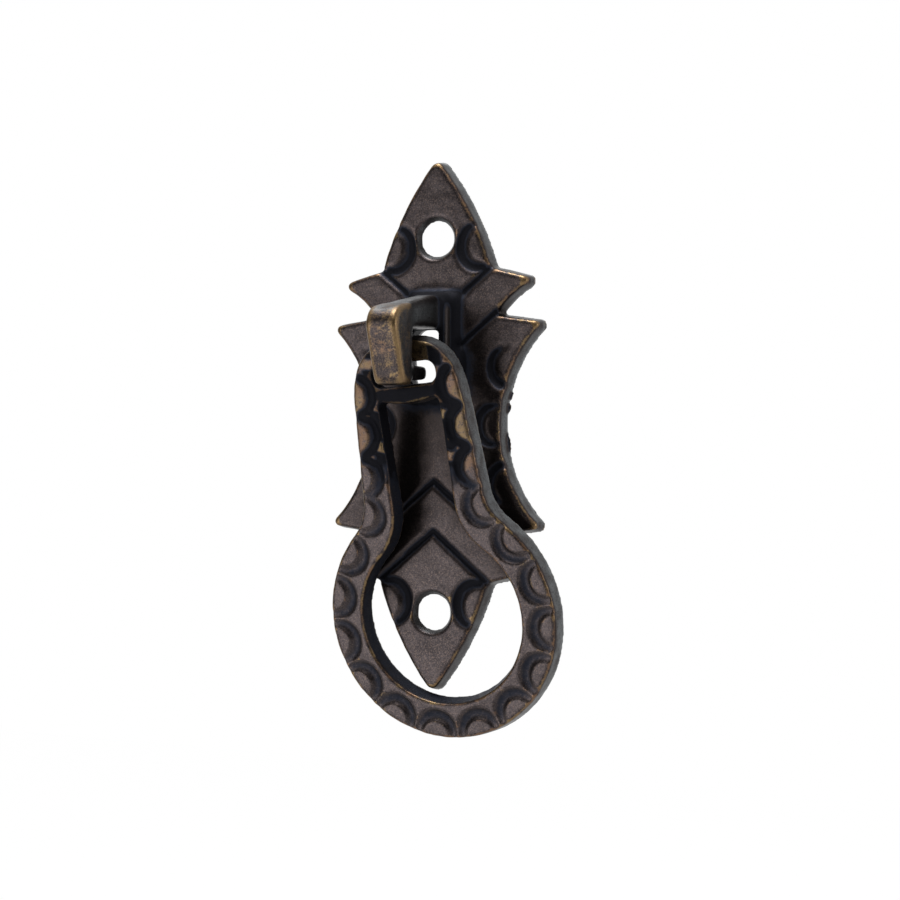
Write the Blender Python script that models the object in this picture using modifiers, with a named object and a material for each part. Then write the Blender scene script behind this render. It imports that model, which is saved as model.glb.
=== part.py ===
"""Drop handle: a cast spearhead backplate with a hook, and a drop pull that hangs on it.

X is across the plate, Z is up it, and Y runs into the door.
The back of the plate lies on the plane y = 0, with the origin at its middle.
"""
import math

import bpy
import bmesh
from mathutils import Matrix, Vector

MM = 0.001

# General
overrun = 1.0 * MM
weld_distance = 0.001 * MM
miter_limit_share = 0.35

# Backplate, as drawn on its front face
plate_thickness = 2.1 * MM
plate_draft = 0.33 * MM
plate_edge_radius = 0.28 * MM
spear_height = 12.3 * MM
spear_half_width = 6.5 * MM
spear_base_height = 17.3 * MM
spear_bulge = 0.7 * MM
spear_tip_radius = 0.6 * MM
wing_half_width = 11.35 * MM
wing_tip_height = 16.05 * MM
wing_lower_bulge = 0.45 * MM
wing_tip_radius = 0.35 * MM
notch_half_width = 6.85 * MM
notch_height = 12.0 * MM
horn_half_width = 12.5 * MM
horn_tip_height = 11.17 * MM
horn_tip_radius = 0.3 * MM
waist_half_width = 7.75 * MM
back_corner_share = 0.75
spear_arc_steps = 7
wing_arc_steps = 4
waist_arc_steps = 8

# Grooves that divide the plate
groove_radius = 0.5 * MM
groove_depth = 0.42 * MM
outer_groove_apex = 11.9 * MM
inner_groove_apex = 6.35 * MM

# Screw holes, with the casting hollowed behind them
screw_rise = 3.7 * MM
screw_mouth_radius = 2.5 * MM
screw_bore_radius = 1.88 * MM
spear_skin = 0.95 * MM
spear_wall = 1.3 * MM
hollow_tip_radius = 0.3 * MM

# Hook
hook_width = 3.5 * MM
hook_edge_radius = 0.7 * MM
shank_root_top = 15.0 * MM
shank_root_height = 4.3 * MM
shank_droop = 0.45 * MM
finger_reach = 16.3 * MM
finger_top = 12.0 * MM
finger_bottom = 4.0 * MM
finger_lean = 2.95 * MM
finger_depth = 2.6 * MM
nub_reach = 6.3 * MM
nub_height = 1.5 * MM
nub_middle = 5.55 * MM
nub_edge_radius = 0.4 * MM
root_half_width = 2.6 * MM
root_top = 14.35 * MM
root_bottom = 3.6 * MM
root_corner_radius = 1.2 * MM
root_flare = 2.3 * MM
root_spread = 1.15 * MM
root_steps = 7
window_half_width = 1.55 * MM
window_top = 10.45 * MM
window_bottom = 4.3 * MM
window_corner_radius = 0.5 * MM
window_back_half_width = 3.05 * MM
window_back_corner_radius = 1.9 * MM
window_end_draft = 0.45 * MM
hook_corner_share = 0.5
finger_corner_share = 0.4

# Drop pull, as drawn on its front face
pull_thickness = 2.1 * MM
pull_draft = 0.35 * MM
pull_edge_radius = 0.25 * MM
ring_outer_radius = 13.35 * MM
ring_inner_radius = 9.65 * MM
ring_drop = 27.4 * MM
leg_outer_half_width = 7.05 * MM
leg_slot_half_width = 3.8 * MM
leg_inner_half_width = 3.7 * MM
leg_outer_fillet = 6.0 * MM
leg_inner_fillet = 7.0 * MM
eye_half_width = 6.3 * MM
eye_shoulder_drop = 2.4 * MM
eye_top = 3.5 * MM
eye_curve_shares = (0.63, 0.92, 0.55)
crossbar_bottom = 2.65 * MM
crossbar_sag = 0.6 * MM
crossbar_fillet = 0.6 * MM
slot_half_width = 3.9 * MM
slot_height = 2.5 * MM
slot_drop = 0.08 * MM
slot_corner_radius = 1.1 * MM

# Pose in which the pull rests, its ring against the door
pull_sway_angle = 5.65
pull_face_reach = 9.2 * MM
pull_side_shift = 0.45 * MM
rest_gap = 0.1 * MM
rest_clearance = 0.3 * MM

# Thumbnail scoops along the edges
scoop_radius = 2.15 * MM
scoop_tool_radius = 0.8 * MM
scoop_inset = 0.1 * MM
scoop_near_height = 0.6 * MM
scoop_far_height = 0.33 * MM
leg_scoop_overhang = 0.15 * MM
leg_scoop_share = 1.0
ring_scoop_pitch_angle = 23.35
ring_scoop_count = 6
ring_scoop_share = 1.0
neck_scoop_share = 0.93
neck_scoop_place_share = 0.41
leg_scoop_drops = (10.9 * MM, 6.3 * MM, 1.8 * MM)
spear_scoop_drop = 1.0 * MM
spear_scoop_side = 5.6 * MM
spear_scoop_share = 1.15
spear_scoop_turn_angle = 18
waist_scoop_height = 6.5 * MM
waist_scoop_share = 1.02


def arc_points(start, end, bulge, count):
    """Points from start to end on an arc that bows to the left of the way by bulge, end left out."""
    a = Vector(start)
    b = Vector(end)
    if not bulge:
        return [tuple(a.lerp(b, k / count)) for k in range(count)]
    chord = b - a
    half = chord.length / 2
    left = Vector((-chord.y, chord.x)).normalized()
    radius = (half ** 2 + bulge ** 2) / (2 * bulge)
    centre = (a + b) / 2 + left * (bulge - radius)
    first = math.atan2(a.y - centre.y, a.x - centre.x)
    last = math.atan2(b.y - centre.y, b.x - centre.x)
    turn = (last - first + math.pi) % (2 * math.pi) - math.pi
    size = abs(radius)
    return [(centre.x + size * math.cos(first + turn * k / count),
             centre.y + size * math.sin(first + turn * k / count)) for k in range(count)]


def circle_points(centre, radius, first, last, count):
    """Points on a circle from one angle to another, both ends in, angles in radians."""
    return [(centre[0] + radius * math.cos(first + (last - first) * k / count),
             centre[1] + radius * math.sin(first + (last - first) * k / count)) for k in range(count + 1)]


def bezier_points(p0, p1, p2, p3, count):
    """Points on a cubic Bezier, end left out."""
    corners = [Vector(p) for p in (p0, p1, p2, p3)]
    points = []
    for k in range(count):
        t = k / count
        s = 1 - t
        weights = (s ** 3, 3 * s * s * t, 3 * s * t * t, t ** 3)
        points.append(tuple(sum((w * c for w, c in zip(weights, corners)), Vector((0, 0)))))
    return points


def rounded(points, radii, count=4):
    """A polygon with the corners named in radii, {index: radius}, turned to arcs."""
    result = []
    for i, p in enumerate(points):
        radius = radii.get(i)
        if not radius:
            result.append(p)
            continue
        here = Vector(p)
        back = (Vector(points[i - 1]) - here).normalized()
        ahead = (Vector(points[(i + 1) % len(points)]) - here).normalized()
        half = back.angle(ahead) / 2
        middle = here + (back + ahead).normalized() * radius / math.sin(half)
        start = here + back * radius / math.tan(half)
        end = here + ahead * radius / math.tan(half)
        first = math.atan2(start.y - middle.y, start.x - middle.x)
        last = math.atan2(end.y - middle.y, end.x - middle.x)
        turn = (last - first + math.pi) % (2 * math.pi) - math.pi
        result += circle_points(middle, radius, first, first + turn, count)
    return result


def rounded_box(half_width, top, bottom, radius):
    """An upright box outline with round corners, anticlockwise from its top right."""
    box = [(half_width, top), (-half_width, top), (-half_width, bottom), (half_width, bottom)]
    return rounded(box, dict.fromkeys(range(len(box)), radius), 5)


def mirrored_outline(right_half):
    """The closed outline whose right half runs from the top middle to the bottom middle."""
    left_half = [(-x, z) for x, z in reversed(right_half) if abs(x) > weld_distance]
    return right_half + left_half


def inset(points, distance):
    """The anticlockwise outline moved inwards by distance, corner by corner."""
    moved = []
    for i, p in enumerate(points):
        here = Vector(p)
        before = (here - Vector(points[i - 1])).normalized()
        after = (Vector(points[(i + 1) % len(points)]) - here).normalized()
        n1 = Vector((-before.y, before.x))
        n2 = Vector((-after.y, after.x))
        middle = (n1 + n2).normalized()
        moved.append(tuple(here + middle * distance / max(middle.dot(n1), miter_limit_share)))
    return moved


def anticlockwise(points):
    area = sum(a[0] * b[1] - b[0] * a[1] for a, b in zip(points, points[1:] + points[:1]))
    return points if area > 0 else points[::-1]


def lofted(name, outline, levels):
    """A solid through copies of an outline, each inset by levels' second value, at depth y."""
    outline = anticlockwise(outline)
    return loft_through(name, [(y, inset(outline, distance) if distance else outline) for y, distance in levels])


def loft_through(name, sections):
    """A solid through outlines with as many points each, given as (y, points)."""
    mesh = bmesh.new()
    rings = [[mesh.verts.new((x, y, z)) for x, z in points] for y, points in sections]
    for low, high in zip(rings, rings[1:]):
        for k in range(len(low)):
            j = (k + 1) % len(low)
            mesh.faces.new((low[k], low[j], high[j], high[k]))
    mesh.faces.new(rings[0])
    mesh.faces.new(rings[-1])
    bmesh.ops.recalc_face_normals(mesh, faces=mesh.faces)
    data = bpy.data.meshes.new(name)
    mesh.to_mesh(data)
    mesh.free()
    return bpy.data.objects.new(name, data)


def edge_levels(thickness, draft, radius):
    """Depths and insets of a drafted edge that is rounded at the front, from the back forward."""
    straight = thickness - radius
    levels = [(0, -draft - radius), (-straight, -radius)]
    for angle in (35, 65):
        turn = math.radians(angle)
        levels.append((-straight - radius * math.sin(turn), -radius * math.cos(turn)))
    levels.append((-thickness, 0))
    return levels


def material(name, colour, roughness, metallic):
    made = bpy.data.materials.new(name)
    made.use_nodes = True
    shader = made.node_tree.nodes["Principled BSDF"]
    shader.inputs["Base Color"].default_value = (*colour, 1)
    shader.inputs["Roughness"].default_value = roughness
    shader.inputs["Metallic"].default_value = metallic
    return made


def finish(obj, metal):
    """Gives a solid its material and smooth shading with sharp corners."""
    obj.data.materials.append(metal)
    obj.data.shade_smooth()
    obj.data.set_sharp_from_angle(angle=math.radians(40))
    parts.objects.link(obj)


def cutter(obj):
    obj.hide_render = True
    obj.display_type = 'WIRE'
    cutters.objects.link(obj)
    return obj


def apply_boolean(target, tool, operation='DIFFERENCE'):
    """Cuts the tool from the target, or joins it, and lets the tool follow the target."""
    tool.parent = target
    modifier = target.modifiers.new(tool.name, 'BOOLEAN')
    modifier.operation = operation
    modifier.object = tool
    modifier.solver = 'EXACT'


def through_cut(name, outline, front, back):
    """A straight cutter through the plate from y = front to y = back."""
    return cutter(lofted(name, outline, [(back, 0), (front, 0)]))


def turned(name, profile, steps):
    """A solid turned about its own Z axis from a profile of (radius, height), top to bottom."""
    data = bpy.data.meshes.new(name)
    data.from_pydata([(radius, 0, height) for radius, height in profile],
                     [(k, k + 1) for k in range(len(profile) - 1)], [])
    made = bpy.data.objects.new(name, data)
    screw = made.modifiers.new("turn", 'SCREW')
    screw.steps = steps
    screw.render_steps = steps
    screw.use_merge_vertices = True
    screw.merge_threshold = weld_distance
    return made


def mesh_from_curve(name, curve, turn=None):
    """The closed mesh of a curve with its caps welded, turned by a matrix if one is given."""
    drawn = bpy.data.objects.new(name, curve)
    bpy.context.scene.collection.objects.link(drawn)
    bpy.context.view_layer.update()
    evaluated = drawn.evaluated_get(bpy.context.evaluated_depsgraph_get())
    data = bpy.data.meshes.new_from_object(evaluated)
    bpy.data.objects.remove(drawn)
    weld = bmesh.new()
    weld.from_mesh(data)
    bmesh.ops.remove_doubles(weld, verts=weld.verts, dist=weld_distance)
    if turn:
        weld.transform(turn)
    bmesh.ops.recalc_face_normals(weld, faces=weld.faces)
    weld.to_mesh(data)
    weld.free()
    return bpy.data.objects.new(name, data)


def cut_scoops(target, places, face):
    """Thumbnail crescents cut by tilted rings: each place is (x, z, inward angle, share).

    Neighbours meet above the face, so every other ring is cut in a second pass.
    """
    bpy.ops.mesh.primitive_torus_add(major_radius=scoop_radius, minor_radius=scoop_tool_radius,
                                     major_segments=26, minor_segments=12)
    ring = bpy.context.object
    tilt = math.atan2(scoop_near_height - scoop_far_height, scoop_radius)
    for turn in range(2):
        tool = bmesh.new()
        for x, z, inward, share in places[turn::2]:
            stand = (Matrix.Translation((x, face - scoop_near_height * share, z))
                     @ Matrix.Rotation(-inward, 4, 'Y')
                     @ Matrix.Rotation(tilt, 4, 'Z')
                     @ Matrix.Rotation(math.pi / 2, 4, 'X')
                     @ Matrix.Scale(share, 4))
            placed = ring.data.copy()
            placed.transform(stand)
            tool.from_mesh(placed)
            bpy.data.meshes.remove(placed)
        name = f"{target.name}_scoops_{turn + 1}"
        data = bpy.data.meshes.new(name)
        tool.to_mesh(data)
        tool.free()
        apply_boolean(target, cutter(bpy.data.objects.new(name, data)))
    bpy.data.objects.remove(ring)


for leftover in list(bpy.data.objects):
    bpy.data.objects.remove(leftover)
parts = bpy.data.collections.new("drop_handle")
cutters = bpy.data.collections.new("cutters")
bpy.context.scene.collection.children.link(parts)
bpy.context.scene.collection.children.link(cutters)

bronze = material("bronzed casting", (0.075, 0.052, 0.045), 0.42, 0.85)
bronze_pull = material("bronzed pull", (0.09, 0.06, 0.048), 0.4, 0.85)

# Outline of the backplate: spearhead, swallow-tail wing, horn and waist, mirrored both ways
plate_half_length = spear_base_height + spear_height
tip = (0, plate_half_length)
spear_base = (spear_half_width, spear_base_height)
wing_tip = (wing_half_width, wing_tip_height)
notch = (notch_half_width, notch_height)
horn_tip = (horn_half_width, horn_tip_height)
waist_bulge = waist_half_width - horn_half_width
quarter = [tip]
quarter += arc_points(tip, spear_base, spear_bulge, spear_arc_steps)[1:]
quarter += [spear_base, wing_tip]
quarter += arc_points(wing_tip, notch, -wing_lower_bulge, wing_arc_steps)[1:]
quarter += [notch, horn_tip]
waist = arc_points(horn_tip, (horn_half_width, -horn_tip_height), waist_bulge, 2 * waist_arc_steps)
quarter += waist[1:waist_arc_steps + 1]
lower = [(x, -z) for x, z in reversed(quarter[:-1])]
whole = anticlockwise(mirrored_outline(quarter + lower))

# Each level of the edge rounds the sharp corners anew, so the back corners stay crisp
corner_radii = {tip: spear_tip_radius, wing_tip: wing_tip_radius, horn_tip: horn_tip_radius}
corners = {}
for index, (x, z) in enumerate(whole):
    radius = corner_radii.get((abs(x), abs(z)))
    if radius:
        corners[index] = radius
plate_sections = []
for depth, distance in edge_levels(plate_thickness, plate_draft, plate_edge_radius):
    grown = {index: radius - distance * back_corner_share for index, radius in corners.items()}
    plate_sections.append((depth, rounded(inset(whole, distance), grown)))
backplate = loft_through("backplate", plate_sections)

# Hook: side profile of shank and finger as (y, z), given its width and rounded edges
shank_root_bottom = shank_root_top - shank_root_height
finger_back = finger_reach - finger_lean - finger_depth
buried = -plate_thickness + plate_edge_radius
hook_profile = [
    (buried, shank_root_top),
    (-finger_reach, finger_top),
    (-finger_reach + finger_lean, finger_bottom),
    (-finger_back, finger_bottom),
    (-finger_back, shank_root_bottom - shank_droop),
    (buried, shank_root_bottom),
]
hook_corners = {1: hook_corner_share * shank_root_height, 2: finger_corner_share * finger_depth,
                4: hook_edge_radius}
profile_curve = bpy.data.curves.new("hook profile", 'CURVE')
profile_curve.dimensions = '2D'
profile_curve.fill_mode = 'BOTH'
profile_curve.extrude = hook_width / 2
hook_points = rounded(hook_profile, hook_corners, 6)
spline = profile_curve.splines.new('POLY')
spline.points.add(len(hook_points) - 1)
for knot, (y, z) in zip(spline.points, hook_points):
    knot.co = (y, z, 0, 1)
spline.use_cyclic_u = True
upright = Matrix(((0, 0, 1, 0), (1, 0, 0, 0), (0, 1, 0, 0), (0, 0, 0, 1)))
hook = cutter(mesh_from_curve("hook", profile_curve, upright))
rim = hook.modifiers.new("rounded edges", 'BEVEL')
rim.width = hook_edge_radius
rim.segments = 3
rim.limit_method = 'ANGLE'
rim.angle_limit = math.radians(50)

# Nub: a flat tongue with a round end that points back at the plate, its edges rounded
nub_radius = hook_width / 2
tongue_start = (finger_reach - finger_lean + finger_back) / 2
tongue = [(nub_radius, tongue_start)]
tongue += circle_points((0, nub_reach + nub_radius), nub_radius, 2 * math.pi, math.pi, 14)
tongue += [(-nub_radius, tongue_start)]
nub_rim = []
for degrees in (0, 45, 90):
    turn = math.radians(degrees)
    nub_rim.append((nub_edge_radius * (1 - math.cos(turn)), nub_edge_radius * (1 - math.sin(turn))))
nub_levels = [(rise - nub_height / 2, cut) for rise, cut in nub_rim]
nub_levels += [(nub_height / 2 - rise, cut) for rise, cut in reversed(nub_rim)]
nub = lofted("nub", tongue, nub_levels)
nub.rotation_euler = (math.pi / 2, 0, 0)
nub.location = (0, 0, nub_middle)
apply_boolean(hook, cutter(nub), 'UNION')

# Flared root that carries the shank and frames the window
root_sections = []
for step in range(root_steps + 1):
    turn = math.pi / 2 * step / root_steps
    spread = root_spread * (1 - math.sin(turn))
    depth = -plate_thickness - root_flare * (1 - math.cos(turn))
    root_sections.append((depth, rounded_box(root_half_width + spread, root_top + spread, root_bottom - spread,
                                             root_corner_radius + spread)))
root_sections.insert(0, (buried, root_sections[0][1]))
root = cutter(loft_through("hook_root", root_sections))
apply_boolean(backplate, root, 'UNION')
apply_boolean(backplate, hook, 'UNION')

# Window that the casting core of the hook leaves, wider at the back
window_front = -plate_thickness - root_flare
front_box = rounded_box(window_half_width, window_top, window_bottom, window_corner_radius)
back_box = rounded_box(window_back_half_width, window_top + window_end_draft,
                       window_bottom - window_end_draft, window_back_corner_radius)
core_sections = [(window_front - overrun, front_box), (window_front, front_box), (0, back_box), (overrun, back_box)]
window = cutter(loft_through("window", core_sections))
apply_boolean(backplate, window)

# Screw holes with a conical mouth, and the hollows behind the spearheads
throat = plate_thickness - spear_skin
mouth_slope = (screw_mouth_radius - screw_bore_radius) / spear_skin
hole_profile = [
    (0, plate_thickness + overrun),
    (screw_mouth_radius + mouth_slope * overrun, plate_thickness + overrun),
    (screw_bore_radius, throat),
    (screw_bore_radius, -overrun),
    (0, -overrun),
]
hollow_half = [tip] + arc_points(tip, spear_base, spear_bulge, spear_arc_steps)[1:]
hollow_half += [spear_base, (0, spear_base_height)]
hollow_outline = inset(anticlockwise(mirrored_outline(hollow_half)), spear_wall - plate_draft)
hollow_tip = max(range(len(hollow_outline)), key=lambda index: hollow_outline[index][1])
hollow_outline = rounded(hollow_outline, {hollow_tip: hollow_tip_radius})
for side, place in ((1, "upper"), (-1, "lower")):
    drill = cutter(turned(f"screw_hole_{place}", hole_profile, 28))
    drill.location = (0, 0, side * (spear_base_height + screw_rise))
    drill.rotation_euler = (math.pi / 2, 0, 0)
    apply_boolean(backplate, drill)
    hollow = [(x, side * z) for x, z in hollow_outline]
    apply_boolean(backplate, through_cut(f"hollow_{place}", hollow, -throat, overrun))

# Grooves: round-bottomed channels that run as chevrons
groove_depth_line = -plate_thickness - groove_radius + groove_depth
for side, place in ((1, "upper"), (-1, "lower")):
    for label, apex, end in (("outer", outer_groove_apex, spear_base), ("inner", inner_groove_apex, notch)):
        slope = (end[1] - apex) / end[0]
        reach = end[0] + overrun
        path = bpy.data.curves.new("groove", 'CURVE')
        path.dimensions = '3D'
        path.bevel_depth = groove_radius
        path.bevel_resolution = 2
        path.use_fill_caps = True
        line = path.splines.new('POLY')
        line.points.add(2)
        for knot, x in zip(line.points, (-reach, 0, reach)):
            knot.co = (x, groove_depth_line, side * (apex + slope * abs(x)), 1)
        apply_boolean(backplate, cutter(mesh_from_curve(f"groove_{label}_{place}", path)))

# Scoops beside the screw holes and along the waist
plate_scoops = []
horn_rise = horn_half_width - waist_half_width
waist_radius = (horn_tip_height ** 2 + horn_rise ** 2) / (2 * horn_rise)
for across in (1, -1):
    inward = math.pi if across > 0 else 0
    for up in (1, -1):
        height = spear_base_height + screw_rise - spear_scoop_drop
        lift = math.radians(spear_scoop_turn_angle) * up * across
        plate_scoops.append((across * spear_scoop_side, up * height, inward + lift, spear_scoop_share))
    for up in (1, 0, -1):
        height = up * waist_scoop_height
        edge = waist_half_width + waist_radius - math.sqrt(waist_radius ** 2 - height ** 2)
        lean = math.asin(height / waist_radius) * across
        plate_scoops.append((across * (edge - scoop_inset), height, inward + lean, waist_scoop_share))
cut_scoops(backplate, plate_scoops, -plate_thickness)
finish(backplate, bronze)

# Outline of the drop pull: eye, legs and ring
ring_centre = (0, -ring_drop)
fillet_x = leg_outer_half_width + leg_outer_fillet
fillet_rise = math.sqrt((ring_outer_radius + leg_outer_fillet) ** 2 - fillet_x ** 2)
fillet_centre = (fillet_x, -ring_drop + fillet_rise)
join_angle = math.atan2(fillet_rise, fillet_x)
shoulder = (eye_half_width, -eye_shoulder_drop)
outer = bezier_points((0, eye_top), (eye_curve_shares[0] * eye_half_width, eye_top),
                      (eye_curve_shares[1] * eye_half_width, eye_curve_shares[2] * eye_top), shoulder, 12)
outer.append(shoulder)
outer += circle_points(fillet_centre, leg_outer_fillet, math.pi, math.pi + join_angle, 6)
outer += circle_points(ring_centre, ring_outer_radius, join_angle, -math.pi / 2, 32)[1:]
outer[-1] = (0, outer[-1][1])
pull_outline = mirrored_outline(outer)
drop_pull = lofted("drop_pull", pull_outline, edge_levels(pull_thickness, pull_draft, pull_edge_radius))

# Opening between the legs and through the ring, with a rounded front edge
inner_x = leg_inner_half_width + leg_inner_fillet
inner_rise = math.sqrt((ring_inner_radius + leg_inner_fillet) ** 2 - inner_x ** 2)
inner_centre = (inner_x, -ring_drop + inner_rise)
inner_angle = math.atan2(inner_rise, inner_x)
crossbar_corner = (leg_slot_half_width, -crossbar_bottom)
crossbar = arc_points((-leg_slot_half_width, -crossbar_bottom), crossbar_corner, -crossbar_sag, 8)
inner = [(0, crossbar[4][1])] + crossbar[5:] + [crossbar_corner]
inner += circle_points(inner_centre, leg_inner_fillet, math.pi, math.pi + inner_angle, 6)
inner += circle_points(ring_centre, ring_inner_radius, inner_angle, -math.pi / 2, 28)[1:]
inner[-1] = (0, inner[-1][1])
opening = mirrored_outline(inner)
opening_corners = {index: crossbar_fillet for index, (x, z) in enumerate(opening) if (abs(x), z) == crossbar_corner}
opening = rounded(opening, opening_corners)
face = -pull_thickness
mouth = [(face + pull_edge_radius, 0)]
for angle in (30, 60, 90):
    turn = math.radians(angle)
    mouth.append((face + pull_edge_radius * (1 - math.sin(turn)), -pull_edge_radius * (1 - math.cos(turn))))
mouth.append((face - overrun, -pull_edge_radius))
opening_levels = [(overrun, pull_draft), (0, pull_draft)] + mouth
apply_boolean(drop_pull, cutter(lofted("ring_opening", opening, opening_levels)))

# Eye slot that hangs on the nub, its edges rounded at both faces
slot_outline = rounded_box(slot_half_width, slot_height / 2 - slot_drop, -slot_height / 2 - slot_drop,
                           slot_corner_radius)
slot_levels = [(face - y, distance) for y, distance in reversed(mouth)] + mouth
apply_boolean(drop_pull, cutter(lofted("eye_slot", slot_outline, slot_levels)))

# Scoops along the outer edge of the pull
right_scoops = []
for k in range(ring_scoop_count):
    angle = -math.pi / 2 + math.radians(ring_scoop_pitch_angle) * (k + 0.5)
    reach = ring_outer_radius - scoop_inset
    place = (reach * math.cos(angle), -ring_drop + reach * math.sin(angle))
    right_scoops.append((*place, angle + math.pi, ring_scoop_share))
neck_angle = math.pi + join_angle * neck_scoop_place_share
reach = leg_outer_fillet + scoop_inset
place = (fillet_centre[0] + reach * math.cos(neck_angle), fillet_centre[1] + reach * math.sin(neck_angle))
right_scoops.append((*place, neck_angle, neck_scoop_share))
leg_length = fillet_centre[1] + eye_shoulder_drop
for drop in leg_scoop_drops:
    along = (eye_shoulder_drop - drop) / leg_length
    edge = eye_half_width + (leg_outer_half_width - eye_half_width) * along
    right_scoops.append((edge + leg_scoop_overhang, -drop, math.pi, leg_scoop_share))
left_scoops = [(-x, z, math.pi - inward, share) for x, z, inward, share in reversed(right_scoops)]
pull_scoops = right_scoops + left_scoops
cut_scoops(drop_pull, pull_scoops, face)
finish(drop_pull, bronze_pull)

# Pose of the pull on the nub: it leans back until the ring meets the door, or the spear if that is longer
def lean_onto(depth, reach):
    """The angle at which the pull's back, at reach from the nub, lies at that depth."""
    half = pull_thickness / 2
    pivot_depth = pull_face_reach - half
    return math.asin((pivot_depth - depth) / math.hypot(half, reach)) - math.atan2(half, reach)


ring_foot = ring_drop + ring_outer_radius + pull_draft + pull_edge_radius
ring_inside = ring_drop + ring_inner_radius - pull_draft
pull_lean = lean_onto(rest_gap, ring_foot)
spear_reach = nub_middle + plate_half_length + plate_draft + plate_edge_radius + rest_clearance
if spear_reach > ring_inside * math.cos(pull_lean):
    pull_lean = min(pull_lean, lean_onto(plate_thickness + rest_clearance, ring_inside))
pivot = bpy.data.objects.new("nub_axis", None)
parts.objects.link(pivot)
pivot.location = (0, -pull_face_reach + pull_thickness / 2, nub_middle)
pivot.rotation_euler = (pull_lean, 0, 0)
drop_pull.parent = pivot
drop_pull.location = (-pull_side_shift, pull_thickness / 2, 0)
drop_pull.rotation_euler = (0, -math.radians(pull_sway_angle), 0)
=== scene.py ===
# %% [markdown]
# # A drop handle in antique bronze
# A drop handle is two zinc castings: a backplate with a hook in one piece with it, and a
# drop pull whose eye hangs on that hook. Both are plated dark, and the high places are
# rubbed back to brown. This lesson loads the two measured solids, turns each into a dense
# cast skin, works out where such a casting wears and where it stays black, and paints it,
# with painted shade in closed-in places and painted light on walls and edges.

# %% Load the two castings
import math

import bmesh
import bpy
import numpy as np
from mathutils import Matrix, Vector, noise as noise3
from mathutils.bvhtree import BVHTree


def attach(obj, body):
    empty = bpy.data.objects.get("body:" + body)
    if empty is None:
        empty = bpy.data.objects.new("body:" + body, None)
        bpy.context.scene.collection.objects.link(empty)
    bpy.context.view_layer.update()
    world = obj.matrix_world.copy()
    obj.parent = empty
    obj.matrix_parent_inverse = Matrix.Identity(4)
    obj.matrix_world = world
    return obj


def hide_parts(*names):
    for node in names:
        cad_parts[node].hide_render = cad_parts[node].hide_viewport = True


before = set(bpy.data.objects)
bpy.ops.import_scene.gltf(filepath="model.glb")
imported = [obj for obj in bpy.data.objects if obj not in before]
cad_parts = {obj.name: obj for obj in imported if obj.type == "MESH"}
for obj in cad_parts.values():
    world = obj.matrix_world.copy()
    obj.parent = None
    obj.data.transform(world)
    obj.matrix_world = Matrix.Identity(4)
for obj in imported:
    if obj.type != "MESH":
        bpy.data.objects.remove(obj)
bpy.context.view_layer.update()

MM = 0.001

# %% [markdown]
# ## Shader maths as Python
# A finish is a formula: brown, darker in the hollows, copper on the crests. Nodes can say
# that, but a formula reads better. The class below wraps one socket, so that an ordinary
# expression such as `1 - hollow * 0.5` adds the Math nodes by itself.

# %% A socket that does arithmetic
class Wire:
    """One output socket. Arithmetic on it adds Math nodes to the tree it belongs to."""

    tree = None

    def __init__(self, socket):
        self.socket = socket

    @classmethod
    def node(cls, kind, settings=None, inputs=None, output=0):
        """Adds one node: its settings first, then the values or links of its sockets."""
        made = cls.tree.nodes.new(kind)
        for name, value in (settings or {}).items():
            setattr(made, name, value)
        for key, value in (inputs or {}).items():
            if isinstance(value, Wire):
                cls.tree.links.new(value.socket, made.inputs[key])
            else:
                made.inputs[key].default_value = value
        return cls(made.outputs[output]) if made.outputs else made

    def maths(self, operation, *others, swap=False):
        values = (*others, self) if swap else (self, *others)
        return Wire.node("ShaderNodeMath", {"operation": operation}, dict(enumerate(values)))

    def __add__(self, other):
        return self.maths("ADD", other)

    __radd__ = __add__

    def __sub__(self, other):
        return self.maths("SUBTRACT", other)

    def __rsub__(self, other):
        return self.maths("SUBTRACT", other, swap=True)

    def __mul__(self, other):
        return self.maths("MULTIPLY", other)

    __rmul__ = __mul__

    def least(self, other):
        """This value, but never under the other one."""
        return self.maths("MAXIMUM", other)

    def ramp(self, low, high):
        """Goes smoothly from 0 to 1 while the value goes from low to high."""
        return Wire.node("ShaderNodeMapRange", {"interpolation_type": "SMOOTHSTEP"},
                         {0: self, 1: low, 2: high})


def mixed(first, second, share):
    """A colour between two colours."""
    return Wire.node("ShaderNodeMix", {"data_type": "RGBA"}, {0: share, 6: first, 7: second}, 2)


def noise(size, detail, roughness=0.55):
    """Cloudy noise, its lumps about size across."""
    spot = Wire.node("ShaderNodeAttribute", {"attribute_name": "cast_spot"}, output="Vector")
    return Wire.node("ShaderNodeTexNoise", None,
                     {"Vector": spot, "Scale": 1 / size, "Detail": detail, "Roughness": roughness})


print("shader arithmetic ready")

# %% [markdown]
# ## The camera
# The handle is seen from a little to the right and slightly below. The angle, the distance
# and the lens were worked out from the outline of the plate, which is a known flat shape.

# %% Camera
view_azimuth, view_elevation, view_roll = 25.14, -1.44, 0.59
distance_in_mm = 210
pixels_per_mm = 8.83
view_distance = distance_in_mm * MM
focal_pixels = pixels_per_mm * distance_in_mm
picture_pixels = 900
origin_pixel = (441.18, 425.72)

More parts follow.
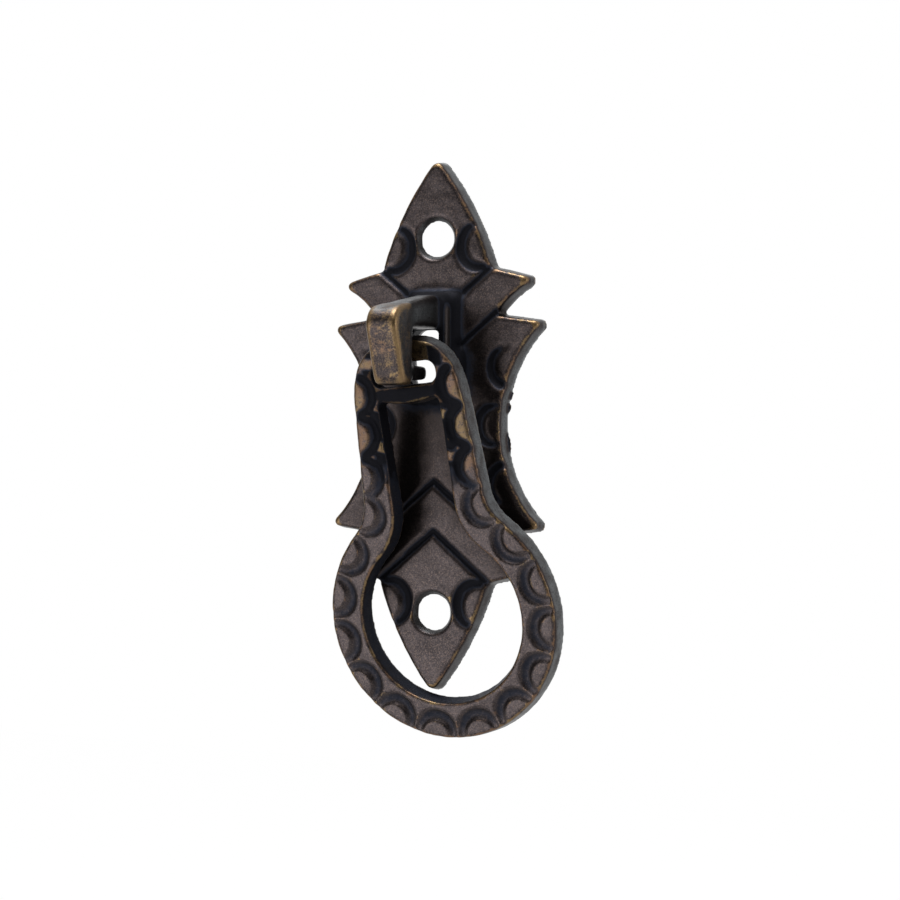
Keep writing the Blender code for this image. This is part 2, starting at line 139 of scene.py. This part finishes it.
azimuth = math.radians(view_azimuth)
elevation = math.radians(view_elevation)
back = Vector((math.sin(azimuth) * math.cos(elevation), -math.cos(azimuth) * math.cos(elevation),
               math.sin(elevation)))
side = Vector((0, 0, 1)).cross(back).normalized()
roll = Matrix.Rotation(math.radians(view_roll), 3, 'Z')
facing = Matrix((side, back.cross(side), back)).transposed() @ roll
aim = Vector(((origin_pixel[0] - picture_pixels / 2) / focal_pixels,
              -(origin_pixel[1] - picture_pixels / 2) / focal_pixels, -1))
facing = facing @ aim.rotation_difference(Vector((0, 0, -1))).to_matrix()
lens = bpy.data.cameras.new("view")
lens.sensor_width = 36
lens.lens = focal_pixels / picture_pixels * lens.sensor_width
lens.clip_start = 10 * MM
camera = bpy.data.objects.new("view", lens)
camera.matrix_world = Matrix.Translation(back * view_distance) @ facing.to_4x4()
bpy.context.scene.collection.objects.link(camera)
bpy.context.scene.camera = camera
bpy.context.scene.view_settings.view_transform = 'Standard'
print(f"lens {lens.lens:.1f} mm")

# %% [markdown]
# ## Floor, room and lamps
# Bronze shows what it reflects. The handle lies in a white tent that is open towards the
# viewer: the faces see that dim opening and one soft box at the left, while the edges see
# the bright back, top and floor, which is why they are the lighter ones. With so few
# lights in front, whatever stands left of a place also darkens it, as the legs do to the
# plate between them.

# %% Room
world = bpy.data.worlds.new("room")
bpy.context.scene.world = world
world.use_nodes = True
Wire.tree = world.node_tree
Wire.tree.nodes.clear()
opening_level = 0.07
tent_level = 1.0
roof_level = 0.9
diffuse_level = 0.34
rays = {name: Wire.node("ShaderNodeLightPath", output=name)
        for name in ("Is Camera Ray", "Is Glossy Ray", "Is Transmission Ray")}
direction = Wire.node("ShaderNodeTexCoord", output="Generated")
behind = Wire.node("ShaderNodeSeparateXYZ", None, {0: direction}, "Y").ramp(-0.35, 0.45)
above = Wire.node("ShaderNodeSeparateXYZ", None, {0: direction}, "Z").ramp(0.25, 0.85)
tent = (opening_level + behind * (tent_level - opening_level)).least(above * roof_level)
mirrored = rays["Is Glossy Ray"].least(rays["Is Transmission Ray"])
level = diffuse_level + mirrored * (tent - diffuse_level)
level = level.least(rays["Is Camera Ray"])
lit = Wire.node("ShaderNodeBackground", None, {"Color": (1, 1, 1, 1), "Strength": level})
Wire.node("ShaderNodeOutputWorld", None, {"Surface": lit})

floor_height = -300 * MM
half_floor = 1.5
floor_mesh = bpy.data.meshes.new("floor")
floor_corners = [(x * half_floor, y * half_floor, floor_height)
                 for x, y in ((-1, -1), (1, -1), (1, 1), (-1, 1))]
floor_mesh.from_pydata(floor_corners, [], [(0, 1, 2, 3)])
floor = bpy.data.objects.new("floor", floor_mesh)
bpy.context.scene.collection.objects.link(floor)
paper = bpy.data.materials.new("white paper")
paper.use_nodes = True
Wire.tree = paper.node_tree
Wire.tree.nodes.clear()
seen = Wire.node("ShaderNodeLightPath", output="Is Camera Ray")
seen = seen.least(Wire.node("ShaderNodeLightPath", output="Is Glossy Ray"))
seen = seen.least(Wire.node("ShaderNodeLightPath", output="Is Transmission Ray"))
glow_share = 0.85
glow_level = 1.12
matt = Wire.node("ShaderNodeBsdfDiffuse", None, {"Color": (0.86, 0.86, 0.86, 1)})
glow = Wire.node("ShaderNodeEmission", None, {"Strength": glow_level})
paper_mix = Wire.node("ShaderNodeMixShader", None, {0: seen * glow_share, 1: matt, 2: glow})
Wire.node("ShaderNodeOutputMaterial", None, {"Surface": paper_mix})
floor_mesh.materials.append(paper)
print("room and floor made")

# %% Lamps
def lamp(name, place, size, power):
    """A soft lamp, so wide and so tall, that looks at the middle of the handle."""
    light = bpy.data.lights.new(name, 'AREA')
    light.shape = 'RECTANGLE'
    light.size, light.size_y = size
    light.energy = power
    made = bpy.data.objects.new(name, light)
    made.location = place
    made.rotation_euler = (-Vector(place)).to_track_quat('-Z', 'Y').to_euler()
    bpy.context.scene.collection.objects.link(made)


lamp("soft box", (-0.22, -0.40, -0.09), (0.23, 0.40), 0.86)
lamp("overhead", (-0.04, -0.10, 0.42), (0.26, 0.26), 2.8)
lamp("right fill", (0.42, -0.06, 0.05), (0.22, 0.22), 0.5)
print("three soft lamps made")

# %% [markdown]
# ## From solid to cast skin
# The measured solids have crisp corners. Molten zinc in a worn die doesn't: every edge is a
# little soft, and the hook, which hands have polished, is softer still. A voxel remesh
# gives the surface an even, dense net, and rounds of smoothing then melt it. Where the
# plate's grooves run in under the hook's root, the solid has a thin hollow. Four small balls,
# joined to the plate before the remesh, close it.

# %% Dense skin
def ramped(values, low, high):
    """Goes smoothly from 0 to 1 while the values go from low to high."""
    share = np.clip((values - low) / (high - low), 0, 1)
    return share * share * (3 - 2 * share)


def neighbours_mean(points, edges, degree):
    """The mean position of each point's neighbours along the edges."""
    a, b = edges[:, 0], edges[:, 1]
    total = np.empty_like(points)
    for axis in range(3):
        total[:, axis] = (np.bincount(a, points[b, axis], len(points))
                          + np.bincount(b, points[a, axis], len(points)))
    return total / degree[:, None]


def relaxed(points, edges, degree, rounds, strength=0.5):
    """Points drawn towards their neighbours; the strength may differ from point to point."""
    for _ in range(rounds):
        points = points + strength * (neighbours_mean(points, edges, degree) - points)
    return points


def spread(values, edges, degree, rounds):
    """Values blurred over the surface."""
    a, b = edges[:, 0], edges[:, 1]
    for _ in range(rounds):
        total = np.bincount(a, values[b], len(values)) + np.bincount(b, values[a], len(values))
        values = 0.5 * values + 0.5 * total / degree
    return values


class Skin:
    """A dense copy of a solid, with its net and what is known about each of its points."""

    def __init__(self, name, node, voxel, plugs=(), plug_radius=0.0):
        self.piece = bpy.data.objects.new(name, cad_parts[node].data.copy())
        self.piece.data.materials.clear()
        solid = bmesh.new()
        solid.from_mesh(self.piece.data)
        for place in plugs:
            bmesh.ops.create_icosphere(solid, subdivisions=3, radius=plug_radius,
                                       matrix=Matrix.Translation(place))
        solid.to_mesh(self.piece.data)
        solid.free()
        bpy.context.scene.collection.objects.link(self.piece)
        net = self.piece.modifiers.new("net", 'REMESH')
        net.mode = 'VOXEL'
        net.voxel_size = voxel
        graph = bpy.context.evaluated_depsgraph_get()
        self.mesh = bpy.data.meshes.new_from_object(self.piece.evaluated_get(graph))
        self.piece.modifiers.clear()
        self.piece.data = self.mesh
        self.mesh.name = name
        self.voxel = voxel
        self.points = self.read(self.mesh.vertices, "co", 3)
        self.edges = np.empty(len(self.mesh.edges) * 2, np.int64)
        self.mesh.edges.foreach_get("vertices", self.edges)
        self.edges = self.edges.reshape(-1, 2)
        self.degree = np.bincount(self.edges.ravel(), minlength=len(self.points)).astype(float)
        triangles = sum(len(face.vertices) - 2 for face in self.mesh.polygons)
        print(f"{name}: {len(self.points)} points, {triangles} triangles")

    def read(self, items, field, width):
        values = np.empty(len(items) * width)
        items.foreach_get(field, values)
        return values.reshape(-1, width)

    def rounds(self, width):
        """How many rounds of smoothing reach that far over the net."""
        return max(1, round(2 * (width / self.voxel) ** 2))

    def melt(self, width, share=1.0):
        strength = 0.5 * np.broadcast_to(share, len(self.points))[:, None]
        self.points = relaxed(self.points, self.edges, self.degree, self.rounds(width), strength)

    def blur(self, values, width):
        return spread(values, self.edges, self.degree, self.rounds(width))

    def settle(self):
        """Writes the points back and measures which way each one faces."""
        self.mesh.vertices.foreach_set("co", self.points.ravel())
        self.mesh.update()
        self.mesh.shade_smooth()
        self.normals = self.read(self.mesh.vertex_normals, "vector", 3)

    def crest(self, width):
        """How far each point stands proud of the surface round it, in millimetres."""
        smooth = relaxed(self.points, self.edges, self.degree, self.rounds(width))
        return ((self.points - smooth) * self.normals).sum(1) / MM

    def keep(self, name, values):
        self.mesh.attributes.new(name, 'FLOAT', 'POINT').data.foreach_set("value", values.astype(np.float32))
        print(self.piece.name, name, np.round(np.percentile(values, (1, 10, 50, 90, 99)), 2))


coarse = 1.0
plate_voxel, pull_voxel = 0.176 * MM, 0.134 * MM
ball_radius = 0.45 * MM
groove_ends = [(way * across * MM, -2.2 * MM, up * MM) for way in (-1, 1)
               for across, up in ((2.62, 8.8), (2.75, 14.3))]
plate = Skin("plate_casting", "backplate", plate_voxel * coarse, groove_ends, ball_radius)
pull = Skin("pull_casting", "drop_pull", pull_voxel * coarse)

# %% [markdown]
# ## Melting
# A whole casting melts by about a quarter of a millimetre, the plate a little more than the
# pull. Before that the hook and the foot of its root melt by more than twice as much, the
# finger at half strength, so that the hook grows out of the plate in one flowing form. The
# nub is too thin for it, and the window behind the hook keeps its edge. From here on most
# places are in millimetres.

# %% Melt
hook_melt, plate_melt, pull_melt = 0.60 * MM, 0.27 * MM, 0.22 * MM
root_half_width, root_middle, root_half_height = 2.6, 9.0, 5.3
window_half_width, window_middle, window_half_height = 1.9, 7.4, 3.9
pivot_height, nub_half_height = 5.55, 1.5
finger_from, finger_full, finger_swell = 10.5, 12.0, 0.08


def from_root(x, z):
    """How far outside the hook's root a point lies, seen from the front."""
    return np.hypot(np.maximum(abs(x) - root_half_width, 0),
                    np.maximum(abs(z - root_middle) - root_half_height, 0))


x, y, z = plate.points.T / MM
in_front = ramped(-y, 2.2, 3.2)
nub = ramped(y, -10.6, -9.8) * ramped(-y, 5.6, 6.2)
nub *= ramped(-abs(z - pivot_height), -nub_half_height, -1.1)
finger_share = ramped(-y, finger_from, finger_full)
by_root = ramped(-from_root(x, z), -2.2, -0.9) * ramped(-y, 1.2, 1.8)
window = ramped(window_half_width - abs(x), -0.9, 0)
window *= ramped(-abs(z - window_middle), -window_half_height, -3.2) * ramped(y, -5.0, -4.4)
heavy = np.maximum(in_front, by_root) * (1 - nub) * (1 - 0.5 * finger_share) * (1 - window)
plate.melt(hook_melt, heavy)
plate.points[:, 0] *= 1 + finger_swell * finger_share
plate.melt(plate_melt)
pull.melt(pull_melt)
print("points that melt most:", int((heavy > 0.5).sum()))

# %% [markdown]
# ## Teeth on the legs
# On the upper legs the scoops reach right across to the inner edge. What stands between two
# scoops is a pointed tooth, so the strip beside each scoop sinks and the teeth stay.

# %% Teeth
sway, pull_lean = math.radians(5.65), math.radians(9.88)
ring_drop, side_shift = 27.4, -0.45
after_melt = 0.15 * MM
ring_x = ring_drop * math.sin(sway) + side_shift
ring_z = pivot_height - ring_drop * math.cos(sway) * math.cos(pull_lean)
scoop_pitch, first_tooth, scoop_slant = 4.55, 1.5, 0.1
strip_from, strip_to = 3.3, 5.4
tooth_height = 0.28
pull.settle()
x, y, z = pull.points.T / MM
middle_x = (pivot_height - z) * math.tan(sway) / math.cos(pull_lean) + side_shift
off_middle = x - middle_x
scoop_turn = 2 * math.pi * (z - first_tooth + scoop_slant * off_middle) / scoop_pitch
tooth = ramped(np.cos(scoop_turn), 0.35, 0.95)
inner_strip = ramped(strip_to - abs(off_middle), 0.0, 0.9)
inner_strip *= ramped(abs(off_middle) - strip_from, 0.0, 0.3)
front_way = np.array((0, -math.cos(pull_lean), -math.sin(pull_lean)))
faces_front = ramped(pull.normals @ front_way, 0.2, 0.7)
toothed_part = ramped(z, -8.0, -4.5) * ramped(-z, -2.6, -1.6)
sunk = tooth_height * inner_strip * (1 - tooth) * toothed_part * faces_front
pull.points -= (sunk * MM)[:, None] * front_way
pull.melt(after_melt)
print("strip sinks by up to", round(float(sunk.max()), 2), "mm")

# %% [markdown]
# ## Uneven skin
# A cast skin shrinks a little while it cools, here more and there less.

# %% Uneven skin
def lumps(skin, size):
    """A smooth random wave over the points of a skin, its lumps about size across."""
    return np.array([noise3.noise(Vector(point) / size) for point in skin.points])


def uneven(skin, size, depth):
    """Sinks the surface here and there."""
    skin.settle()
    skin.points += skin.normals * (depth * (lumps(skin, size) - 0.5))[:, None]


sink_depth = 0.035 * MM
uneven(plate, 1.3 * MM, sink_depth)
uneven(pull, 1.1 * MM, sink_depth)
print("both skins made uneven")

# %% [markdown]
# ## Gate marks
# Zinc leaves the die through gates at the back edge of the plate's right waist. They were
# broken off, not filed, so three small rough stubs stay there.

# %% Gate stubs
gate_heights = (3.3 * MM, 1.9 * MM, -1.9 * MM)
gate_lengths = (0.35 * MM, 0.45 * MM, 0.9 * MM)
gate_stand = 0.22 * MM
plate.settle()
x, y, z = plate.points.T
beside = ramped(x, 5.5 * MM, 6.5 * MM) * ramped(y, -0.75 * MM, -0.2 * MM)
beside *= ramped(plate.normals[:, 0], 0.1, 0.5)
stub = sum(ramped(-abs(z - height), -length * 1.6, -length * 0.6)
           for height, length in zip(gate_heights, gate_lengths))
rough_break = lumps(plate, 0.35 * MM)
stub_share = beside * np.clip(stub, 0, 1)
plate.points[:, 0] += stub_share * gate_stand * (0.8 + 0.7 * rough_break)
back_edge = ramped(y, -0.6 * MM, -0.1 * MM) * ramped(1 - abs(plate.normals[:, 1]), 0.2, 0.6)
edge_wander = 0.07 * MM
wander = edge_wander * (lumps(plate, 0.8 * MM) - 0.6)
plate.points += plate.normals * (back_edge * (1 - stub_share) * wander)[:, None]
plate.settle()
pull.settle()
print("gate stubs:", int((stub_share > 0.5).sum()), "points")

# %% [markdown]
# ## Where a casting wears, and where light and shade are painted
# A hand and a polishing wheel reach the crests and miss the hollows, and the side walls are
# tumbled to a dry grey. Seven values are kept for each point. Five say how much of a colour
# there is: black (patina in the hollows, and painted shade round the hook's root and on the
# pull's inner walls), rubbed, brassy, wall grey, and pale, which is painted light: lighter
# upper walls, highlight lines and reflection. The other two are how closed in a point lies,
# which the finish darkens as painted shade, and how squarely it is facing the front. They
# come from plain measures: how far a point lies under the casting's front face, how proud it
# stands, and how many rays leave it freely.

# %% Openness
def openness(skin, blockers, reach, rays_each):
    """The share of rays, spread round each point's normal, that meet nothing within reach."""
    trees = [BVHTree.FromPolygons([tuple(corner.co) for corner in mesh.vertices],
                                  [tuple(face.vertices) for face in mesh.polygons])
             for mesh in blockers]
    golden = math.pi * (3 - math.sqrt(5))
    lobe_spread = 0.75
    lift = 0.12 * MM
    lobe = []
    for step in range(rays_each):
        height = 1 - (step + 0.5) / rays_each * lobe_spread
        across = math.sqrt(1 - height * height)
        lobe.append(Vector((across * math.cos(step * golden), across * math.sin(step * golden), height)))
    free = np.zeros(len(skin.points))
    for spot, (point, normal) in enumerate(zip(skin.points, skin.normals)):
        normal = Vector(normal)
        start = Vector(point) + normal * lift
        turn = normal.to_track_quat('Z', 'X')
        for ray in lobe:
            way = turn @ ray
            if not any(tree.ray_cast(start, way, reach)[0] for tree in trees):
                free[spot] += 1
    return free / rays_each


solids = [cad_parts[node].data for node in ("backplate", "drop_pull")]
ray_count = 14
ray_reach = 9 * MM
plate_open = plate.blur(openness(plate, solids, ray_reach, ray_count), 0.55 * MM)
pull_open = pull.blur(openness(pull, solids, ray_reach, ray_count), 0.4 * MM)
for label, shares in (("plate", plate_open), ("pull", pull_open)):
    print(label, "openness", np.round(np.percentile(shares, (5, 50, 95)), 2))

# %% Depth under the front face
def under_face(skin, front):
    """How far each point lies under the front face, and how squarely it faces as the face does."""
    front = np.array(front)
    height = skin.points @ front
    facing = skin.normals @ front
    level = np.median(height[facing > 0.995])
    return (level - height) / MM, facing


plate_under, plate_facing = under_face(plate, (0, -1, 0))
pull_under, pull_facing = under_face(pull, front_way)
for label, depths in (("plate", plate_under), ("pull", pull_under)):
    print(label, "under the face", np.round(np.percentile(depths, (1, 50, 99)), 2))

# %% Plate wear
edge_blur, wide_blur = 0.10 * MM, 0.15 * MM
ridge_across = 2.55
screw_height, hole_reach = 21.0, 2.75
finger_rub = 0.52
fine, broad = plate.crest(0.33 * MM), plate.crest(0.95 * MM)
x, y, z = plate.points.T / MM
on_face = ramped(plate_facing, 0.35, 0.75)
hook_share = ramped(-plate_under, 0.15, 0.6)
trough = on_face * ramped(plate_under, 0.03, 0.24) * ramped(-fine, -0.02, 0.0) * (1 - hook_share)
outward_slope = plate.normals[:, 0] * np.sign(x)
trough *= 1 - 0.55 * ramped(-outward_slope, 0.0, 0.45) * ramped(abs(x), 3.0, 3.8)
trough = np.maximum(1.15 * plate.blur(trough, 0.12 * MM), 1.1 * plate.blur(trough, 0.35 * MM))
root_distance = from_root(x, z) * (1 + ramped(z, 7.5, 10.0))
# painted shade: the plate round the hook's root is darkened, further below and beside it than above
root_shade = ramped(-root_distance, -3.3, -0.4) * ramped(y, -5.4, -4.3) * ramped(-y, 1.2, 1.8)
# painted highlight: a light line down the ridge beside the hook's root, grey and pale instead of black
root_ridge_highlight = ramped(-abs(x - ridge_across * np.sign(x)), -0.5, -0.1)
root_ridge_highlight *= ramped(y, -5.2, -4.6) * ramped(-y, 3.2, 3.9)
root_ridge_highlight *= ramped(z, 5.0, 7.0) * ramped(-z, -14.2, -12.5)
# closed-in points: the finish darkens them as painted shade, and their walls lose the grey
closed = ramped(-plate_open, -0.96, -0.45)
wall = ramped(-plate_facing, -0.30, -0.12) * (1 - closed * 0.6)
rubbed = ramped(fine, 0.012, 0.05) * (1 - 0.5 * closed)
tips = ramped(broad, 0.19, 0.27) * (1 - hook_share)
finger = hook_share * ramped(-y, finger_from, finger_full + 0.5)
brassy = np.maximum(tips, finger * (0.25 + 0.75 * ramped(broad, 0.06, 0.20)))
walls_and_hook = np.maximum(wall, hook_share * ramped(-y, 3.5, 5.0))
# painted light: walls and hook faces that look upward are made paler and grey, as light falls from above
lit_from_above = ramped(plate.normals[:, 2], 0.45, 0.85) * walls_and_hook * (1 - closed * 0.7)
# painted highlight: a light line along the back edge of the side walls
back_edge_highlight = wall * ramped(y, -0.55, -0.2) * ramped(plate_facing, -0.5, -0.2)
wall = np.maximum(wall * (1 - finger * 0.5), lit_from_above)
from_screw = np.hypot(x, abs(z) - screw_height)
# the screw holes' walls: wall grey, and a painted reflection in the pale colour
in_hole = ramped(-from_screw, -hole_reach, -2.55) * ramped(-abs(plate_facing), -0.75, -0.55)
wall = np.maximum(wall, in_hole)
closed *= 1 - 0.8 * in_hole
# black for patina in the troughs and on the gate stubs, and painted shade round the root
patina_and_shade = np.maximum.reduce([trough * (1 - in_hole), 1.3 * root_shade * (1 - root_ridge_highlight),
                               ramped(stub_share, 0.2, 0.6)])
plate.keep("patina_and_shade", plate.blur(np.clip(patina_and_shade, 0, 1.3), edge_blur))
rubbed = np.maximum(rubbed * (1 - 0.5 * finger), finger_rub * finger)
plate.keep("rubbed", plate.blur(rubbed, edge_blur))
plate.keep("brassy", plate.blur(brassy, wide_blur))
plate.keep("wall", plate.blur(np.maximum(wall, 0.6 * root_ridge_highlight), wide_blur))
# painted light: upper walls paler, highlight lines, and painted reflection in the screw holes
painted_light = np.maximum.reduce([lit_from_above, 0.7 * back_edge_highlight, 0.2 * root_ridge_highlight, 0.4 * in_hole])
plate.keep("painted_light", plate.blur(painted_light, 0.12 * MM))
# painted shade for closed-in places, and for the finger away from its crests
plate.keep("closed", np.maximum(closed, 0.45 * finger * (1 - ramped(broad, 0.06, 0.20))))
plate.keep("facing", plate_facing)

# %% [markdown]
# The pull is worn in the same way, but its inner walls, round the ring's opening and
# between the legs, are painted black: painted shade, for walls that face each other.

# %% Pull wear
bar_half_width, bar_bottom, bar_top = 3.9, 0.8, 4.7
fine, broad = pull.crest(0.28 * MM), pull.crest(0.85 * MM)
x, y, z = pull.points.T / MM
on_face = ramped(pull_facing, 0.35, 0.75)
trough = on_face * ramped(pull_under, 0.04, 0.26) * ramped(-fine, -0.02, 0.0)
zeros = np.zeros(len(x))
to_leg_middle = np.stack([np.where(z > ring_z, middle_x, ring_x) - x, zeros, zeros], 1)
to_ring_middle = np.stack([ring_x - x, zeros, ring_z - z], 1)
in_ring = ramped(-z, 9.0, 12.0)[:, None]
to_middle = (1 - in_ring) * to_leg_middle + in_ring * to_ring_middle
to_middle /= np.linalg.norm(to_middle, axis=1)[:, None] + 1e-9
inward = (pull.normals * to_middle).sum(1)
side = ramped(-pull_facing, -0.45, -0.15) * ramped(pull_facing, -0.9, -0.6)
# painted shade: the inner walls round the ring's opening and between the legs are painted black
inner = side * ramped(inward, -0.1, 0.35)
closed = ramped(-pull_open, -0.75, -0.30)
bar = ramped(bar_half_width - abs(x - middle_x), 0, 0.5)
bar *= ramped(z, bar_bottom, 1.8) * ramped(-z, -bar_top, -4.3)
trough *= 1 - 0.6 * ramped(inward, 0.0, 0.4)
upper_leg = ramped(z, -8.5, -3.0)
near_black = 0.85 * pull.blur(trough, 0.15 * MM)
wide_black = (0.95 + 0.7 * upper_leg) * pull.blur(trough, 0.4 * MM)
trough = np.maximum(near_black, wide_black)
depth_of_black = 0.74 + 0.5 * upper_leg
strip = on_face * inner_strip * upper_leg * (1 - tooth)
# black for patina in the troughs and sunk strips, black on the crossbar, and painted shade on the inner
# walls
patina_and_shade = np.maximum.reduce([trough, inner, strip, on_face * bar]) * depth_of_black
# painted highlight: a light line along the back edge of the ring's inner walls, kept out of the black
back_edge_highlight = inner * ramped(pull_under, 1.65, 1.85) * ramped(-pull_facing, -0.3, 0.0) * ramped(-z, 9.0, 14.0)
patina_and_shade *= 1 - 0.9 * back_edge_highlight
wall = ramped(-pull_facing, -0.30, -0.12) * (1 - inner * (1 - back_edge_highlight))
rubbed = ramped(fine, 0.007, 0.038)
islands = on_face * upper_leg * ramped(-trough, -0.5, -0.1) * (1 - inner_strip * (1 - tooth)) * (1 - bar)
by_trough = ramped(pull.blur(trough, 0.6 * MM), 0.1, 0.5)
fringe = on_face * by_trough * (1 - np.clip(trough, 0, 1)) * (1 - upper_leg)
brassy = np.maximum(ramped(broad, 0.2, 0.3) * 0.5 * (1 - bar), 0.2 * islands)
rubbed = np.maximum.reduce([rubbed, 0.8 * islands, 0.75 * fringe])
patina_and_shade = np.maximum(patina_and_shade, 0.3 * islands)
pull.keep("patina_and_shade", pull.blur(np.clip(patina_and_shade, 0, 1.2), edge_blur))
pull.keep("rubbed", pull.blur(rubbed, edge_blur))
pull.keep("brassy", pull.blur(brassy, wide_blur))
pull.keep("wall", pull.blur(wall, edge_blur))
# painted light: the ring's walls paler, and the back-edge highlight line
pull.keep("painted_light", np.maximum(pull.blur(wall * ramped(-z, 8.0, 16.0), 0.3 * MM) * 0.55, 0.9 * back_edge_highlight))
# closed-in points, which the finish darkens as painted shade
pull.keep("closed", closed)
pull.keep("facing", pull_facing)

# %% [markdown]
# ## The finish
# The plating is a dark purple-brown with a fine grain, black with a hint of blue in every
# hollow, and rubbed to copper and brass on crests and edges. The same black also paints
# shade round the root and on the pull's inner walls, closed-in places get painted shade, and
# walls get painted light in paler grey and silver. All of it is one formula on the seven
# values, most of them broken up with noise so that their borders aren't clean lines.

# %% Antique bronze
dark_brown = (0.0240, 0.0200, 0.0210, 1)
purple_brown = (0.0600, 0.0490, 0.0495, 1)
speck_brown = (0.160, 0.116, 0.096, 1)
slate = (0.0170, 0.0205, 0.0315, 1)
blue_black = (0.0055, 0.0060, 0.0090, 1)
copper_rub = (0.150, 0.088, 0.052, 1)
brass_rub = (0.185, 0.125, 0.058, 1)
wall_grey = (0.080, 0.086, 0.092, 1)
wall_pale = (0.135, 0.142, 0.145, 1)
# colour of the painted highlight on the walls
painted_highlight_silver = (0.34, 0.35, 0.36, 1)
edge_dark = (0.016, 0.012, 0.011, 1)


def attribute(name):
    return Wire.node("ShaderNodeAttribute", {"attribute_name": name}, output="Fac")


def antique_bronze(name, darker):
    made = bpy.data.materials.new(name)
    made.use_nodes = True
    Wire.tree = made.node_tree
    shader = made.node_tree.nodes["Principled BSDF"]
    cloud = noise(2.6 * MM, 4)
    patch = noise(0.8 * MM, 4, 0.65)
    grain = noise(0.20 * MM, 2, 0.8)
    speck = noise(0.12 * MM, 1, 0.5)
    closed = attribute("closed")
    tone = cloud * 0.35 + grain * 0.9 + patch * 0.25 - darker
    brown = mixed(dark_brown, purple_brown, tone.ramp(0.50, 0.95))
    brown = mixed(brown, speck_brown, speck.ramp(0.50, 0.75) * 0.45)
    grey = mixed(wall_grey, wall_pale, (cloud * 0.25 + grain * 0.9).ramp(0.42, 0.78))
    # painted light: walls made paler, then silver, by the painted-light values
    grey = mixed(grey, wall_pale, attribute("painted_light"))
    grey = mixed(grey, painted_highlight_silver, (attribute("painted_light") + (patch - 0.5) * 0.5).ramp(0.45, 0.95))
    grey = mixed(grey, edge_dark, speck.ramp(0.48, 0.30) * 0.8)
    wall = attribute("wall")
    base = mixed(brown, grey, wall)
    facing = attribute("facing")
    line = facing.ramp(0.10, 0.32) * facing.ramp(0.82, 0.55)
    base = mixed(base, edge_dark, line * 0.75 * (cloud + patch).ramp(0.7, 1.1))
    # painted shade: closed-in places darkened
    base = mixed(base, edge_dark, closed * 0.8)
    # black for patina in the hollows, and painted shade where the same values carry it
    black = (attribute("patina_and_shade") + (patch - 0.5) * 0.8 + (grain - 0.5) * 0.7).ramp(0.12, 0.85)
    deep = (attribute("patina_and_shade") + (patch - 0.5) * 0.3).ramp(0.80, 1.0)
    base = mixed(base, mixed(slate, blue_black, deep), black * 0.95)
    warm = mixed(copper_rub, brass_rub, noise(3.0 * MM, 2).ramp(0.42, 0.6))
    rub = (attribute("rubbed") + (patch - 0.5) * 1.4 + (grain - 0.5) * 0.7).ramp(0.45, 1.0)
    rub = rub * (1 - black * 0.5)
    base = mixed(base, warm, rub * 0.85)
    brass = (attribute("brassy") + (patch - 0.5) * 0.6 + (grain - 0.5) * 0.7).ramp(0.30, 0.95)
    brass = brass * (1 - black * 0.7)
    base = mixed(base, mixed(brass_rub, copper_rub, grain.ramp(0.6, 0.3)), brass * 0.85)
    rough = 0.27 + grain * 0.14 + black * 0.34 + wall * 0.10
    height = Wire.node("ShaderNodeBump", None,
                       {"Strength": 0.35, "Distance": 0.02 * MM, "Height": grain + patch * 1.5})
    links = made.node_tree.links
    links.new(base.socket, shader.inputs["Base Color"])
    links.new(rough.socket, shader.inputs["Roughness"])
    links.new(height.socket, shader.inputs["Normal"])
    shader.inputs["Metallic"].default_value = 0.9
    return made


plate_darker, pull_darker = 0.06, 0.05
for skin, node, body, finish, darker in (
        (plate, "backplate", "plate", "plate_bronze", plate_darker),
        (pull, "drop_pull", "pull", "pull_bronze", pull_darker)):
    spot = skin.mesh.attributes.new("cast_spot", 'FLOAT_VECTOR', 'POINT')
    spot.data.foreach_set("vector", skin.points.astype(np.float32).ravel())
    skin.mesh.materials.append(antique_bronze(finish.replace("_", " "), darker))
    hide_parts(node)
    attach(skin.piece, body)
print("both castings finished")

# %% End
print("end of the scene")
